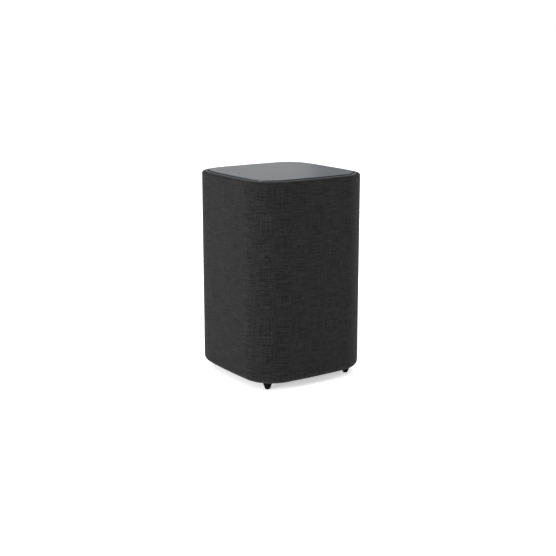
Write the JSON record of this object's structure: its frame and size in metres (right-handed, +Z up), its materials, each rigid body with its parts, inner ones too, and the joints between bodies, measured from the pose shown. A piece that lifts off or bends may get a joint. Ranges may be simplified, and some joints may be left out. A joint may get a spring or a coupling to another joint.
{
  "type": "powered subwoofer",
  "caption": "Compact down-firing powered subwoofer: fabric-wrapped rounded-square cabinet, inset flat top panel, short tapered rubber feet.",
  "frame": {"origin": "on the floor under the middle of the cabinet", "axes": "+Z up, -Y towards the front, +Y towards the rear connection panel"},
  "size_m": [0.24, 0.24, 0.37],
  "materials": {
    "cover_fabric": "matte woven",
    "panel_plastic": "satin",
    "inner_plastic": "matte",
    "inlet_plastic": "satin",
    "rear_plastic": "fine texture",
    "button_plastic": "satin",
    "light_plastic": "clear frosted",
    "cabinet_board": "raw fibreboard",
    "trim_plastic": "fine texture",
    "basket_metal": "powder coated",
    "seal_foam": "matte foam",
    "screw_steel": "black zinc",
    "surround_rubber": "satin",
    "cone_pulp": "pressed pulp",
    "spider_cloth": "varnished cloth",
    "former_aluminium": "satin",
    "copper": "enamelled wire",
    "motor_steel": "zinc plated",
    "motor_ferrite": "ground ceramic",
    "circuit_board": "lacquered",
    "contact_metal": "tinned",
    "fuse_glass": "clear",
    "wadding": "fibre",
    "lead_rubber": "satin",
    "foot_rubber": "glossy"
  },
  "bodies": {
    "cabinet": {"amplifier_board": "circuit_board", "amplifier_chamber": "inner_plastic", "base_baffle": "cabinet_board", "base_screws": "screw_steel", "base_seal": "seal_foam", "board_pillars": "screw_steel", "board_screws": "screw_steel", "button_switch": "inner_plastic", "cabinet_brace": "cabinet_board", "cabinet_shell": "cabinet_board", "control_board": "circuit_board", "fabric_cover": "cover_fabric", "filter_capacitors": "former_aluminium", "front_left_foot": "foot_rubber", "front_right_foot": "foot_rubber", "front_wadding": "wadding", "heat_sink": "former_aluminium", "inlet_pins": "contact_metal", "lead_connector": "inner_plastic", "lead_grommet": "seal_foam", "left_wadding": "wadding", "mains_fuse": "fuse_glass", "mains_inlet": "inlet_plastic", "motor_magnet": "motor_ferrite", "motor_top_plate": "motor_steel", "motor_yoke": "motor_steel", "output_coils": "copper", "output_socket": "inner_plastic", "panel_carrier": "inner_plastic", "radio_module": "contact_metal", "rear_gasket": "seal_foam", "rear_left_foot": "foot_rubber", "rear_panel": "rear_plastic", "rear_right_foot": "foot_rubber", "rear_screws": "screw_steel", "right_wadding": "wadding", "speaker_lead": "lead_rubber", "status_light": "light_plastic", "supply_board": "circuit_board", "surround_ring": "trim_plastic", "terminal_strip": "circuit_board", "terminal_tabs": "contact_metal", "tinsel_leads": "copper", "top_panel": "panel_plastic", "top_wadding": "wadding", "transformer": "motor_ferrite", "underside_trim": "trim_plastic", "woofer_basket": "basket_metal", "woofer_gasket": "seal_foam", "woofer_screws": "screw_steel", "woofer_spider": "spider_cloth", "woofer_surround": "surround_rubber"},
    "moving_cone": {"woofer_cone": "cone_pulp", "dust_cap": "cone_pulp", "coil_former": "former_aluminium", "voice_coil": "copper"},
    "connect_button": {"connect_button": "button_plastic"}
  },
  "joints": [
    {"name": "cone_travel", "type": "slide", "parent": "cabinet", "child": "moving_cone", "axis": [0, 0, 1], "range_m": [-0.007, 0.007], "stiffness_N_per_m": 2500, "deforming": ["woofer_surround", "woofer_spider", "tinsel_leads"]},
    {"name": "connect_button_press", "type": "slide", "parent": "cabinet", "child": "connect_button", "axis": [0, -1, 0], "range_m": [0, 0.001], "stiffness_N_per_m": 400}
  ]
}
